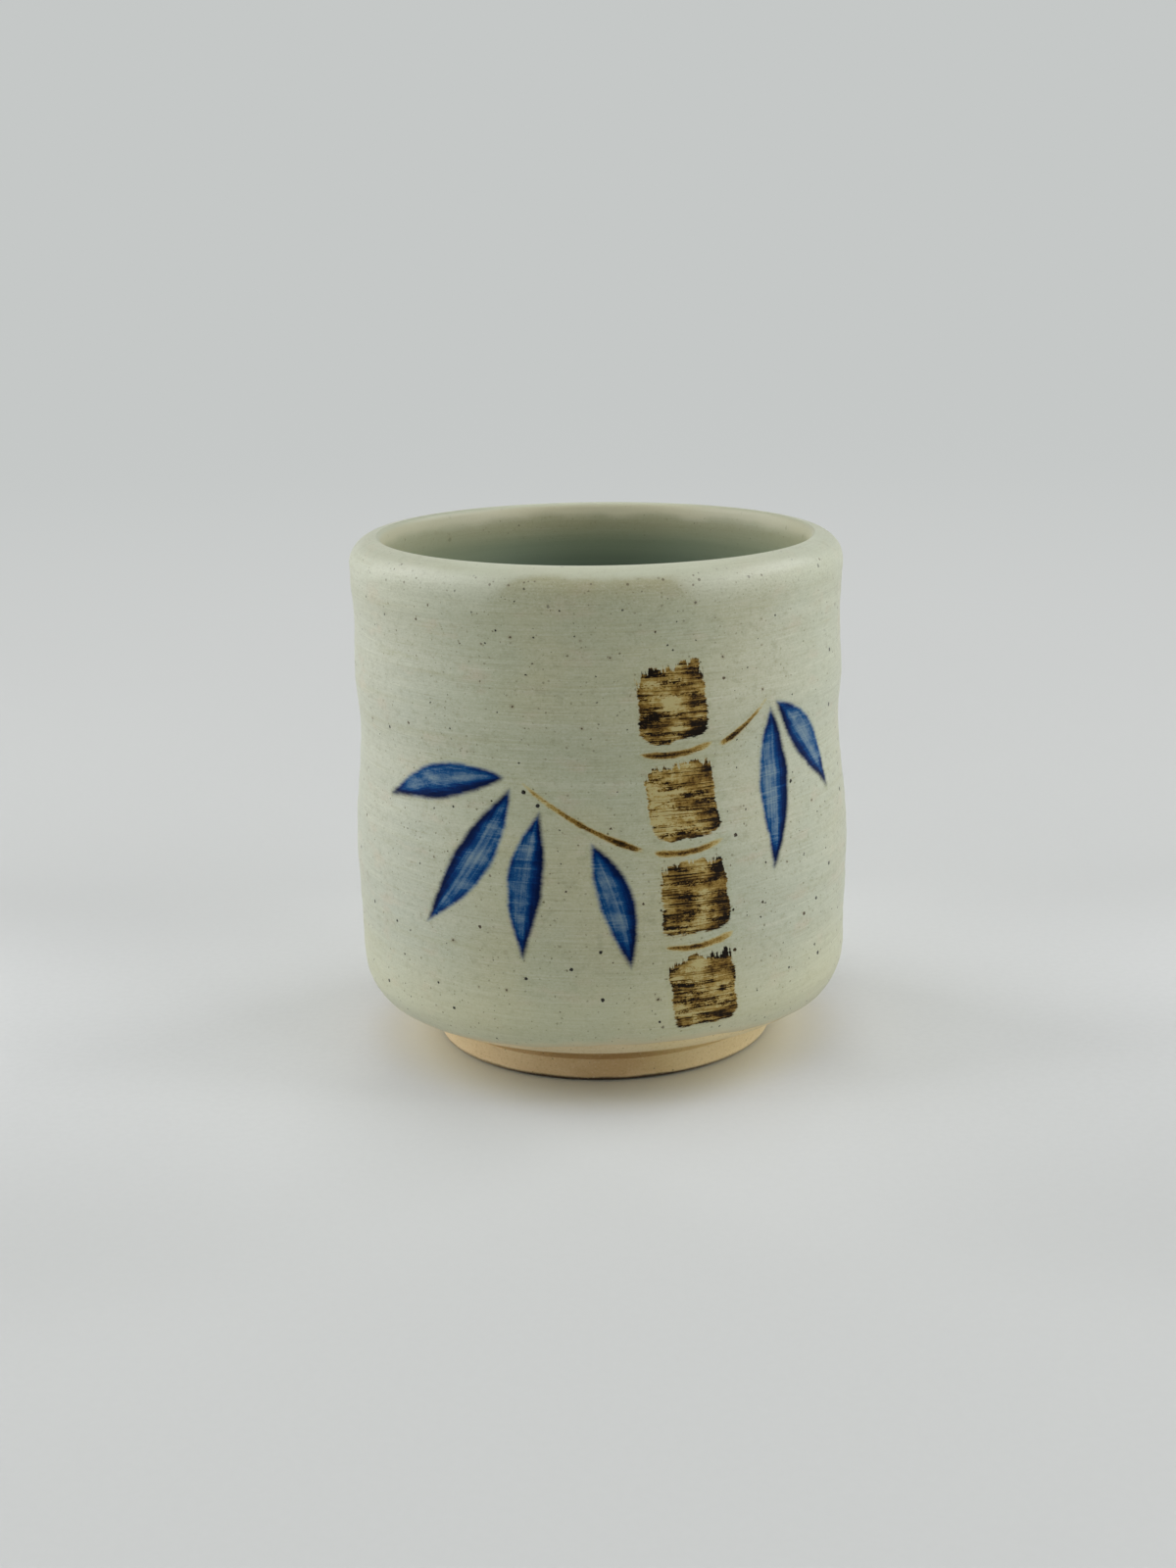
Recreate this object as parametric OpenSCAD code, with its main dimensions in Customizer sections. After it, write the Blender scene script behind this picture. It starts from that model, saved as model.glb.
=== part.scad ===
// Yunomi: a footed stoneware tea cup, thrown on a wheel, turned at the foot and glazed inside and out.
// Lengths are millimetres and angles are degrees. The foot ring stands on z = 0, centred on the origin.
// The brushed bamboo faces -Y. Azimuths are counted from there, to the right as seen from the front.

/* [Cup] */
// Height of the rim above the table
cup_h = 85; // [76:0.5:96]
// Radius at the fullest part of the belly
belly_r = 41.15; // [37:0.05:45]
// How far the heel, just above the turn-in, lies inside the belly
heel_in = 0.4; // [0:0.05:1]
// How far the finger groove at the waist lies inside the belly
waist_in = 1.5; // [0:0.1:3]
// How far the bulge above the waist lies inside the belly
bulge_in = 1; // [0:0.05:3]
// How far the neck below the rim lies inside the belly
neck_in = 1.3; // [0:0.1:3]
// How far the swell under the lip lies inside the belly
swell_in = 0.9; // [0:0.1:3]

/* [Lip] */
// Distance from the outside of the swell in to the crest of the lip
lip_out_w = 4.5; // [2:0.1:6]
// Distance from the crest of the lip in to the inner wall, glaze included
lip_in_w = 1.2; // [0.7:0.1:2.5]
// Drop from the crest of the lip to the swell outside
lip_out_drop = 4.4; // [3:0.1:7]
// Drop from the crest of the lip to the inner wall
lip_in_drop = 4.2; // [2:0.1:7]

/* [Inside] */
// Wall thickness at the waist, glaze included
waist_t = 4.8; // [3.4:0.1:6]
// Wall thickness at the belly, glaze included
belly_t = 5; // [3.4:0.1:7]
// Thickness of the floor at its centre, glaze included
floor_t = 6; // [4:0.1:9]
// Radius of the shallow tea pool in the floor
pool_r = 15; // [8:0.5:20]
// Depth of the tea pool
pool_d = 0.8; // [0.2:0.1:1.5]
// Height over which the floor sweeps up into the wall
sweep_h = 11; // [7:0.5:16]

/* [Foot] */
// Outer radius of the foot ring
foot_r = 28.3; // [24:0.1:31]
// Width of the foot ring
foot_w = 6; // [4:0.1:9]
// Height of the straight outer wall of the foot
foot_wall_h = 3.9; // [3:0.1:6]
// Height of the groove turned above the foot wall
groove_h = 1.5; // [0.8:0.1:2.5]
// Depth of that groove
groove_d = 0.8; // [0.3:0.1:1.5]
// Chamfer on both edges of the foot ring
foot_chamfer = 0.6; // [0.2:0.1:1.2]
// Depth of the recess turned out under the foot
recess_h = 4.5; // [3:0.1:7]
// Radius of the corner inside that recess
recess_fillet = 2; // [0.5:0.1:2.4]
// Rise from the groove to the underside of the body
under_rise = 1.1; // [0.6:0.1:3]
// Height over which the underside turns up into the wall
turn_h = 11.1; // [8:0.1:15]

/* [Glaze] */
// Thickness of the fired glaze coats
glaze_t = 0.35; // [0.2:0.05:0.5]
// Height of the lower edge of the outer coat above the underside of the body
glaze_edge_rise = 2.8; // [1:0.1:6]
// Thickness of the brushed pigment
pigment_t = 0.15; // [0.1:0.05:0.3]

/* [Bamboo culm] */
// Azimuth of the culm at its lower end
culm_low_az = 23; // [-60:1:60]
// Azimuth of the culm at its upper end
culm_high_az = 15; // [-60:1:60]
// Number of segments between the joints of the culm
culm_count = 4; // [2:1:6]
// Width of a segment at its ends
culm_end_w = 12.4; // [4:0.1:14]
// Width of a segment at its middle
culm_mid_w = 10.8; // [4:0.1:14]
// Gap left between two segments for the joint mark
culm_gap = 3; // [2.2:0.1:5]
// Width of the brush line that marks a joint
mark_w = 1.1; // [0.6:0.1:1.4]

/* [Bamboo twigs and leaves] */
// Width of a twig where it leaves the culm
twig_w = 1.2; // [0.6:0.1:2]
// Length of the longest leaf
leaf_len = 29; // [15:0.5:32]
// Greatest width of a leaf
leaf_w = 6.2; // [3:0.1:8]
// Distance from a twig to the start of a leaf
leaf_gap = 1.8; // [1.2:0.1:3]
// Distance from the culm to the start of a twig
stroke_gap = 0.6; // [0.3:0.1:1.5]
// Width left at the blunt ends of brush strokes
tip_w = 0.35; // [0.2:0.05:0.6]

/* [Hidden] */
$fn = 180;

clay_colour = "#b59f78";
glaze_colour = "#b9bda2";
liner_colour = "#a3a88c";
iron_colour = "#5f4a22";
cobalt_colour = "#123f86";

// Steps along each smooth stretch of the outline
run_steps = 6;
// Steps along each quarter arc of the outline
arc_steps = 9;
// Steps along each side of a brush stroke
stroke_steps = 9;
// Roundness of the turned-in underside and of the sweep in the floor, where 2 is an ellipse
turn_power = 2.75;
sweep_power = 2.5;
// Where a brush stroke is fullest and how long its points are
stroke_skew = 0.9;
stroke_power = 1.3;
// Heights of the waist, bulge and neck, as shares of the wall between heel and swell
waist_share = 0.6;
bulge_share = 0.705;
neck_share = 0.863;
// Height of the belly on the same wall
belly_share = 0.26;

// Heights of the foot and of the outline above it
groove_top_z = foot_wall_h + groove_h;
under_z = groove_top_z + under_rise;
heel_z = under_z + turn_h;
swell_z = cup_h - lip_out_drop;
glaze_z = under_z + glaze_edge_rise;
function wall_z(share) = heel_z + (swell_z - heel_z) * share;

// Radii of the outline
heel_r = belly_r - heel_in;
waist_r = belly_r - waist_in;
swell_r = belly_r - swell_in;
crest_r = swell_r - lip_out_w;
inner_r = crest_r - lip_in_w;
// The underside starts flush with the mouth of the groove, a little outside the foot
under_r = foot_r + groove_d;
foot_in_r = foot_r - foot_w;
floor_z = recess_h + floor_t;
sweep_z = floor_z + pool_d + sweep_h;

// Radius and height at each change of direction up the outer wall
outer_stations = [
    [heel_r, heel_z],
    [belly_r, wall_z(belly_share)],
    [waist_r, wall_z(waist_share)],
    [belly_r - bulge_in, wall_z(bulge_share)],
    [belly_r - neck_in, wall_z(neck_share)],
    [swell_r, swell_z]
];

// Radius and height at each change of direction down the inner wall
inner_stations = [
    [inner_r, cup_h - lip_in_drop],
    [waist_r - waist_t, wall_z(waist_share)],
    [belly_r - belly_t, sweep_z]
];

// Smooth passage from a to b, level at both ends
function ease(a, b, t) = a + (b - a) * (1 - cos(180 * t)) / 2;

// Points of a wall through its stations, moved outwards by grow and without the last station
function wall_run(stations, grow) = [
    for (i = [0 : len(stations) - 2], k = [0 : run_steps - 1])
        let (t = k / run_steps, a = stations[i], b = stations[i + 1])
        [ease(a[0], b[0], t) + grow, a[1] + (b[1] - a[1]) * t]
];

// One quarter of a rounded corner about a centre, with half axes w and h, from angle a0 to a1
function quarter(centre, w, h, power, a0, a1) = [
    for (k = [0 : arc_steps])
        let (a = a0 + (a1 - a0) * k / arc_steps)
        [
            centre[0] + w * pow(abs(sin(a)), 2 / power),
            centre[1] - h * pow(abs(cos(a)), 2 / power)
        ]
];

// Turned-in underside, inset from the glazed surface, upwards from angle a0
function turn_curve(inset, a0) = quarter(
    [under_r, heel_z],
    heel_r - under_r - inset,
    turn_h - inset,
    turn_power,
    a0,
    90
);

// Angle of the turned-in underside where it reaches the glaze edge
function turn_angle(inset) = acos(pow((heel_z - glaze_z) / (turn_h - inset), turn_power / 2));

// Outside of the lip, from the swell up to the crest
function lip_outside(inset) = [
    for (k = [0 : arc_steps])
        let (a = 90 * k / arc_steps)
        [
            crest_r + (lip_out_w - inset) * cos(a),
            swell_z + (lip_out_drop - inset) * sin(a)
        ]
];

// Inside of the lip, from the crest down to the inner wall
function lip_inside(inset) = [
    for (k = [0 : arc_steps - 1])
        let (a = 90 * k / arc_steps)
        [
            crest_r - (crest_r - inner_r - inset) * sin(a),
            cup_h - lip_in_drop + (lip_in_drop - inset) * cos(a)
        ]
];

// Outer wall from angle a0 of the underside up to just below the swell
function wall_curve(inset, a0) = concat(
    turn_curve(inset, a0),
    [for (p = wall_run(outer_stations, -inset)) if (p[1] > heel_z) p]
);

// Outer surface from angle a0 of the underside up to the crest of the lip
function outside_curve(inset, a0) = concat(wall_curve(inset, a0), lip_outside(inset));

// Sweep of the floor into the wall, from the wall down to the tea pool
function sweep_curve(inset) = quarter(
    [pool_r, sweep_z],
    belly_r - belly_t + inset - pool_r,
    sweep_h + inset,
    sweep_power,
    90,
    0
);

// Tea pool, from its edge to the axis
function pool_curve(inset) = [
    for (k = [1 : run_steps])
        let (t = k / run_steps)
        [pool_r * (1 - t), ease(floor_z + pool_d, floor_z, t) - inset]
];

// Inner surface from the crest of the lip down to the axis
function inside_curve(inset) = concat(
    lip_inside(inset),
    wall_run(inner_stations, inset),
    sweep_curve(inset),
    pool_curve(inset)
);

// Groove turned above the foot wall, from its lower to its upper edge
groove_curve = [
    for (k = [0 : arc_steps])
        let (a = -90 + 180 * k / arc_steps)
        [foot_r - groove_d * cos(a), foot_wall_h + groove_h / 2 * (1 + sin(a))]
];

// Recess under the foot, from the axis out to the inner edge of the ring
recess_curve = concat(
    [[0, recess_h]],
    [
        for (k = [0 : arc_steps])
            let (a = 90 * k / arc_steps)
            [
                foot_in_r - recess_fillet * (1 - sin(a)),
                recess_h - recess_fillet * (1 - cos(a))
            ]
    ]
);

// Thrown and turned clay: foot ring, floor, wall and lip in one piece
module stoneware_body() {
    color(clay_colour)
    rotate_extrude()
    polygon(concat(
        recess_curve,
        [
            [foot_in_r, foot_chamfer],
            [foot_in_r + foot_chamfer, 0],
            [foot_r - foot_chamfer, 0],
            [foot_r, foot_chamfer]
        ],
        groove_curve,
        outside_curve(glaze_t, 0),
        inside_curve(glaze_t)
    ));
}

// Points in the opposite order
function reversed(points) = [for (i = [len(points) - 1 : -1 : 0]) points[i]];

// Coat over the outside, from the bare underside up to the crest of the lip
module outer_glaze() {
    color(glaze_colour)
    rotate_extrude()
    polygon(concat(
        outside_curve(0, turn_angle(0)),
        reversed(outside_curve(glaze_t, turn_angle(glaze_t)))
    ));
}

// Coat over the inside, from the crest of the lip down to the floor
module inner_glaze() {
    color(liner_colour)
    rotate_extrude()
    polygon(concat(
        inside_curve(0),
        reversed(inside_curve(glaze_t))
    ));
}

// Thin skin over the glazed wall, out of which brush strokes are cut
module pigment_skin() {
    wall = wall_curve(0, turn_angle(0));
    rotate_extrude()
    polygon(concat(
        wall,
        reversed([for (p = wall) [p[0] + pigment_t, p[1]]])
    ));
}

// Azimuth at a distance x across from the start of a stroke that starts at azimuth az.
// The plane of the stroke touches the wall at its middle, reach across from its start.
function az_across(az, reach, x) = az + asin(reach / belly_r) + asin((x - reach) / belly_r);

// Carries a flat stroke straight out through the wall, from its start at an azimuth and height
module on_wall(az, z, reach = 0) {
    rotate([0, 0, az_across(az, reach, reach)])
    translate([0, -belly_r / 2, z])
    rotate([90, 0, 0])
    linear_extrude(belly_r)
    translate([-reach, 0])
    children();
}

// Segment of the culm, standing on its base, waisted by its broad brush
module culm_segment(length) {
    sides = [
        for (k = [0 : stroke_steps])
            let (t = k / stroke_steps)
            [
                culm_mid_w / 2 + (culm_end_w - culm_mid_w) / 2 * pow(abs(2 * t - 1), 3),
                length * t
            ]
    ];
    polygon(concat(sides, reversed([for (p = sides) [-p[0], p[1]]])));
}

// Joint mark: a shallow arc of the brush across the culm
module joint_mark() {
    sag = (culm_gap - mark_w) / 4;
    top = [
        for (k = [0 : stroke_steps])
            let (t = 2 * k / stroke_steps - 1)
            [culm_end_w / 2 * t, mark_w / 2 + sag * (2 * t * t - 1)]
    ];
    polygon(concat(top, reversed([for (p = top) [p[0], p[1] - mark_w]])));
}

// Tapered stroke along +X with a bow to one side, fullest just before its middle
module brush_line(length, w, bow, start_w) {
    function side(t, s) = [
        length * t,
        bow * length * 4 * t * (1 - t) + s * ((start_w + (tip_w - start_w) * t) / 2
            + (w - start_w) / 2 * pow(sin(180 * pow(t, stroke_skew)), stroke_power))
    ];
    polygon(concat(
        [for (k = [0 : stroke_steps]) side(k / stroke_steps, -1)],
        [for (k = [stroke_steps : -1 : 0]) side(k / stroke_steps, 1)]
    ));
}

// Lower and upper end of the culm, as shares of the height of the cup
culm_low_share = 0.155;
culm_high_share = 0.83;
culm_low_z = cup_h * culm_low_share;
culm_pitch = (cup_h * culm_high_share - culm_low_z + culm_gap) / culm_count;

// Azimuth of the culm at a height
function culm_az(z) = culm_low_az
    + (culm_high_az - culm_low_az) * (z - culm_low_z) / (culm_pitch * culm_count - culm_gap);

// Broad iron strokes of the culm, one above the other, with a mark at each joint
module iron_culm() {
    lean = atan((culm_low_az - culm_high_az) * PI / 180 * belly_r / (culm_pitch * culm_count));
    color(iron_colour)
    intersection() {
        pigment_skin();
        union() {
            for (i = [0 : culm_count - 1]) {
                z = culm_low_z + culm_pitch * i;
                on_wall(culm_az(z), z)
                rotate([0, 0, lean])
                culm_segment(culm_pitch - culm_gap);
            }
            for (i = [1 : culm_count - 1]) {
                z = culm_low_z + culm_pitch * i - culm_gap / 2;
                on_wall(culm_az(z), z)
                rotate([0, 0, lean])
                joint_mark();
            }
        }
    }
}

// Height of a joint mark, counted from the lowest segment
function joint_z(i) = culm_low_z + culm_pitch * min(i, culm_count - 1) - culm_gap / 2;

// Twigs: joint they leave and side, direction, then length and bow
twig_shares = [
    [2, -1, 150, 0.8, 0.05],
    [3, 1, 36, 0.42, -0.05]
];

// Azimuth and height at which a twig leaves its joint
function twig_az(s) = az_across(culm_az(joint_z(s[0])), 0, s[1] * (culm_end_w / 2 + stroke_gap));

// Place on a twig, across and up from its foot, at a share t of its length
function twig_offset(s, t) =
    let (along = leaf_len * s[3] * t, aside = leaf_len * s[3] * s[4] * 4 * t * (1 - t))
    [along * cos(s[2]) - aside * sin(s[2]), along * sin(s[2]) + aside * cos(s[2])];

// Thin iron lines that carry the leaves
module iron_twigs() {
    color(iron_colour)
    intersection() {
        pigment_skin();
        union() {
            for (s = twig_shares) {
                on_wall(twig_az(s), joint_z(s[0]), twig_offset(s, 0.5)[0])
                rotate([0, 0, s[2]])
                brush_line(leaf_len * s[3], twig_w, s[4], twig_w);
            }
        }
    }
}

// Leaves: twig and place along it, direction, then length, width and bow
leaf_shares = [
    [0, 1, 194, 0.86, 0.9, -0.05],
    [0, 1, 236, 1, 1, 0.05],
    [0, 0.78, 263, 0.84, 0.92, -0.04],
    [0, 0.42, 286, 0.76, 0.86, 0.05],
    [1, 1, 312, 0.8, 0.9, 0.05],
    [1, 1, 270, 0.92, 1, 0.05]
];

// Loaded cobalt strokes, each pressed down and lifted to a point
module cobalt_leaves() {
    color(cobalt_colour)
    intersection() {
        pigment_skin();
        union() {
            for (s = leaf_shares) {
                twig = twig_shares[s[0]];
                length = leaf_len * s[3];
                across = twig_offset(twig, s[1])[0] + leaf_gap * cos(s[2]);
                up = twig_offset(twig, s[1])[1] + leaf_gap * sin(s[2]);
                az = az_across(twig_az(twig), twig_offset(twig, 0.5)[0], across);
                on_wall(az, joint_z(twig[0]) + up, length / 2 * cos(s[2]))
                rotate([0, 0, s[2]])
                brush_line(length, leaf_w * s[4], s[5], tip_w);
            }
        }
    }
}

stoneware_body();
outer_glaze();
inner_glaze();
iron_culm();
iron_twigs();
cobalt_leaves();
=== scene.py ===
import bmesh
import bpy
import numpy as np
from mathutils import Matrix, Vector


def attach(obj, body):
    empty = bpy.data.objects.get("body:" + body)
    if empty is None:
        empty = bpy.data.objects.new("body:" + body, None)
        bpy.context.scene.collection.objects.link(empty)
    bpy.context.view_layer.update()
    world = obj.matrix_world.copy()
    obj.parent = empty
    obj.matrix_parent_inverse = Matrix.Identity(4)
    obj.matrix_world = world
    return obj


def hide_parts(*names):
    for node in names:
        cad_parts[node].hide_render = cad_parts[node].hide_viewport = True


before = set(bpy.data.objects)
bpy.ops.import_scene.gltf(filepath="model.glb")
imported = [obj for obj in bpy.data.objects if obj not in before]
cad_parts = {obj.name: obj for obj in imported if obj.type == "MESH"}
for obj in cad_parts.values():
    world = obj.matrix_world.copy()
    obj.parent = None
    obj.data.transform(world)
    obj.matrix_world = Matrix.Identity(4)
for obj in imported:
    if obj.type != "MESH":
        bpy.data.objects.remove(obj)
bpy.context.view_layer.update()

# A footed stoneware tea cup, thrown on a wheel, with a pale glaze and brushed bamboo.
# Lengths are millimetres until a mesh is made. Azimuths are degrees from -Y, to the right from the front.
MM = 0.001
rng = np.random.default_rng(5)

# Outline of the cup, as in the part's source
CUP_H = 85
BELLY_R = 41.15
HEEL_IN = 0.4
WAIST_IN = 1.5
BULGE_IN = 1
NECK_IN = 1.3
SWELL_IN = 0.9
LIP_OUT_W = 4.5
LIP_IN_W = 1.2
LIP_OUT_DROP = 4.4
LIP_IN_DROP = 4.2
WAIST_T = 4.8
BELLY_T = 5
FLOOR_T = 6
POOL_R = 15
POOL_D = 0.8
SWEEP_H = 11
FOOT_R = 28.3
FOOT_W = 6
FOOT_WALL_H = 3.9
GROOVE_H = 1.5
GROOVE_D = 0.8
FOOT_CHAMFER = 0.6
# The outer edge of the foot is worn rounder than it was turned, and the ring's corners are a little soft
FOOT_WORN_W = 0.85
FOOT_WORN_H = 0.8
FOOT_WORN_SHARE = 0.3
CORNER_R = 0.25
RECESS_H = 4.5
RECESS_FILLET = 2
UNDER_RISE = 1.1
TURN_H = 11.1
GLAZE_T = 0.35
GLAZE_EDGE_RISE = 2.8
TURN_POWER = 2.75
SWEEP_POWER = 2.5
BELLY_SHARE = 0.26
WAIST_SHARE = 0.6
BULGE_SHARE = 0.705
NECK_SHARE = 0.863

# Heights and radii that follow from it
UNDER_Z = FOOT_WALL_H + GROOVE_H + UNDER_RISE
HEEL_Z = UNDER_Z + TURN_H
SWELL_Z = CUP_H - LIP_OUT_DROP
GLAZE_Z = UNDER_Z + GLAZE_EDGE_RISE
UNDER_R = FOOT_R + GROOVE_D
FOOT_IN_R = FOOT_R - FOOT_W
HEEL_R = BELLY_R - HEEL_IN
WAIST_R = BELLY_R - WAIST_IN
SWELL_R = BELLY_R - SWELL_IN
CREST_R = SWELL_R - LIP_OUT_W
INNER_R = CREST_R - LIP_IN_W
FLOOR_Z = RECESS_H + FLOOR_T
SWEEP_Z = FLOOR_Z + POOL_D + SWEEP_H

# How finely the meshes are divided
COLUMNS = 320
ROW_STEP = 0.45
FOOT_STEP = 0.22
HIDDEN_STEP = 2.5
CURVE_STEPS = 60
CORNER_STEPS = 5
NORMAL_REACH = 0.15
SHARP_ANGLE = 50

# Bamboo, as in the part's source
CULM_LOW_AZ = 23
CULM_HIGH_AZ = 15
CULM_COUNT = 4
CULM_END_W = 12.4
CULM_MID_W = 10.8
CULM_GAP = 3
MARK_W = 1.1
CULM_LOW_Z = CUP_H * 0.155
CULM_PITCH = (CUP_H * 0.83 - CULM_LOW_Z + CULM_GAP) / CULM_COUNT
TWIG_W = 1.2
LEAF_LEN = 29
LEAF_W = 6.2
LEAF_GAP = 1.8
STROKE_GAP = 0.6
TIP_W = 0.35
STROKE_SKEW = 0.9
STROKE_POWER = 1.3
CULM_FLARE_POWER = 3


def wall_z(share):
    """Height at a share of the wall between heel and swell."""
    return HEEL_Z + (SWELL_Z - HEEL_Z) * share


def ease(a, b, t):
    """Smooth passage from a to b, level at both ends."""
    return a + (b - a) * (1 - np.cos(np.pi * t)) / 2


def smooth(value, low, high):
    """0 below low, 1 above high, with a soft passage between."""
    return ease(0, 1, np.clip((value - low) / (high - low), 0, 1))


def through(stations):
    """Points of a wall through its stations."""
    t = np.linspace(0, 1, CURVE_STEPS, endpoint=False)
    runs = [
        np.column_stack([ease(a[0], b[0], t), a[1] + (b[1] - a[1]) * t])
        for a, b in zip(stations, stations[1:])
    ]
    return np.vstack(runs + [np.array([stations[-1]], float)])


def arc(start, end):
    """Angles of an arc, from degrees."""
    return np.radians(np.linspace(start, end, CURVE_STEPS))


def quarter(centre, w, h, power, a):
    """Quarter of a rounded corner about a centre, with half axes w across and h down."""
    return np.column_stack([
        centre[0] + w * np.abs(np.sin(a)) ** (2 / power),
        centre[1] - h * np.abs(np.cos(a)) ** (2 / power),
    ])


class Outline:
    """A line of radii and heights, read by the distance along it."""

    def __init__(self, points):
        steps = np.hypot(*np.diff(points, axis=0).T)
        keep = np.concatenate([[True], steps > 1e-6])
        self.points = points[keep]
        self.s = np.concatenate([[0], np.cumsum(np.hypot(*np.diff(self.points, axis=0).T))])
        self.length = self.s[-1]

    def at(self, s):
        """Radius and height at a distance."""
        return np.interp(s, self.s, self.points[:, 0]), np.interp(s, self.s, self.points[:, 1])

    def normal(self, s):
        """Direction to the right of the way along the line."""
        r0, z0 = self.at(s - NORMAL_REACH)
        r1, z1 = self.at(s + NORMAL_REACH)
        long = np.hypot(r1 - r0, z1 - z0)
        return (z1 - z0) / long, (r0 - r1) / long

    def rows(self, step, s0=0.0, s1=None):
        """Even distances along the line."""
        s1 = self.length if s1 is None else s1
        return np.linspace(s0, s1, round((s1 - s0) / step) + 1)


def outside_line():
    """Glazed outside, from the inner end of the underside up to the crest of the lip."""
    turn = quarter((UNDER_R, HEEL_Z), HEEL_R - UNDER_R, TURN_H, TURN_POWER, arc(0, 90))
    wall = through([
        (HEEL_R, HEEL_Z),
        (BELLY_R, wall_z(BELLY_SHARE)),
        (WAIST_R, wall_z(WAIST_SHARE)),
        (BELLY_R - BULGE_IN, wall_z(BULGE_SHARE)),
        (BELLY_R - NECK_IN, wall_z(NECK_SHARE)),
        (SWELL_R, SWELL_Z),
    ])
    a = arc(0, 90)
    lip = np.column_stack([CREST_R + LIP_OUT_W * np.cos(a), SWELL_Z + LIP_OUT_DROP * np.sin(a)])
    return Outline(np.vstack([turn, wall, lip]))


def inside_line():
    """Glazed inside, from the crest of the lip down to the axis."""
    a = arc(0, 90)
    lip = np.column_stack([CREST_R - LIP_IN_W * np.sin(a), CUP_H - LIP_IN_DROP * (1 - np.cos(a))])
    wall = through([
        (INNER_R, CUP_H - LIP_IN_DROP),
        (WAIST_R - WAIST_T, wall_z(WAIST_SHARE)),
        (BELLY_R - BELLY_T, SWEEP_Z),
    ])
    sweep = quarter((POOL_R, SWEEP_Z), BELLY_R - BELLY_T - POOL_R, SWEEP_H, SWEEP_POWER, arc(90, 0))
    t = np.linspace(0, 1, CURVE_STEPS)
    pool = np.column_stack([POOL_R * (1 - t), ease(FLOOR_Z + POOL_D, FLOOR_Z, t)])
    return Outline(np.vstack([lip, wall, sweep, pool]))


def foot_line():
    """Bare clay, from the axis under the foot, round the ring and its groove, to the underside."""
    a = arc(0, 90)
    fillet = np.column_stack([
        FOOT_IN_R - RECESS_FILLET * (1 - np.sin(a)),
        RECESS_H - RECESS_FILLET * (1 - np.cos(a)),
    ])
    ring = [
        (FOOT_IN_R, FOOT_CHAMFER),
        (FOOT_IN_R + FOOT_CHAMFER, 0),
        (FOOT_R - FOOT_WORN_W, 0),
        (FOOT_R - FOOT_WORN_SHARE * FOOT_WORN_W, FOOT_WORN_SHARE * FOOT_WORN_H),
        (FOOT_R, FOOT_WORN_H),
        (FOOT_R, FOOT_WALL_H),
    ]
    b = arc(-90, 90)
    groove = np.column_stack([
        FOOT_R - GROOVE_D * np.cos(b),
        FOOT_WALL_H + GROOVE_H / 2 * (1 + np.sin(b)),
    ])
    under = [(UNDER_R, UNDER_Z + GLAZE_T)]
    return Outline(np.vstack([[(0, RECESS_H)], fillet, softened(ring), groove, under]))


def softened(points):
    """The same corners, each cut back a little and rounded."""
    made = [points[0]]
    for before, corner, after in zip(points, points[1:], points[2:]):
        before, corner, after = (np.array(p, float) for p in (before, corner, after))
        start = corner + (before - corner) / np.linalg.norm(before - corner) * CORNER_R
        end = corner + (after - corner) / np.linalg.norm(after - corner) * CORNER_R
        for t in np.linspace(0, 1, CORNER_STEPS):
            made.append(start * (1 - t) ** 2 + corner * 2 * t * (1 - t) + end * t ** 2)
    made.append(points[-1])
    return np.array(made, float)


OUTSIDE = outside_line()
INSIDE = inside_line()
FOOT = foot_line()

# Departures from true round: an oval wall, an upper part that leans, and a rim that dips to the right
OVAL = 0.12
OVAL_AZ = 35
OVAL_WHOLE_Z = 30
LEAN = 0.2
LEAN_AZ = -90
LEAN_RISE = (35, 75)
RIM_DIP = 0.45
RIM_DIP_AZ = 90
RIM_DIP_Z = 73

# Ridges left by the fingers: wavelength up the wall, turns of the spiral, phase, how they fade, and height
RIDGE_COUNT = 16
RIDGE_SHORT = 1.3
RIDGE_LONG = 11
RIDGE_H = 0.0028
RIDGE_POWER = 0.75
RIDGE_SWELL = 0.6
RIDGE_WAVES = np.geomspace(RIDGE_SHORT, RIDGE_LONG, RIDGE_COUNT)
RIDGE_TURNS = rng.integers(-1, 2, len(RIDGE_WAVES))
RIDGE_PHASES = rng.uniform(0, 2 * np.pi, len(RIDGE_WAVES))
RIDGE_FADES = rng.uniform(0, 2 * np.pi, len(RIDGE_WAVES))
RIDGE_HEIGHTS = RIDGE_H * RIDGE_WAVES ** RIDGE_POWER

# Height over which they rise from the underside, share that the rim loses, and share left on the inner wall
RIDGE_RISE = 4
RIM_LOSS = 0.7
SMOOTHED = 0.4


def ridges(az, z):
    """Throwing ridges, as a radial offset."""
    total = 0
    for wave, turns, phase, fade, height in zip(
        RIDGE_WAVES, RIDGE_TURNS, RIDGE_PHASES, RIDGE_FADES, RIDGE_HEIGHTS
    ):
        swell = 1 + RIDGE_SWELL * np.sin(np.radians(az) + fade)
        total = total + height * swell * np.sin(2 * np.pi * z / wave + turns * np.radians(az) + phase)
    return total


def wobble(az, z, ridged):
    """Radial departure of the hand-thrown wall from true round, nothing at the foot."""
    oval = OVAL * np.cos(2 * np.radians(az - OVAL_AZ))
    lean = LEAN * np.cos(np.radians(az - LEAN_AZ)) * smooth(z, *LEAN_RISE)
    worked = smooth(z, UNDER_Z, UNDER_Z + RIDGE_RISE) * (1 - RIM_LOSS * smooth(z, SWELL_Z, CUP_H))
    return smooth(z, UNDER_Z, OVAL_WHOLE_Z) * (oval + lean) + ridged * worked * ridges(az, z)


def rim_drop(az, z):
    """How far the rim dips below its height."""
    return RIM_DIP * (1 + np.cos(np.radians(az - RIM_DIP_AZ))) / 2 * smooth(z, RIM_DIP_Z, CUP_H)


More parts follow.
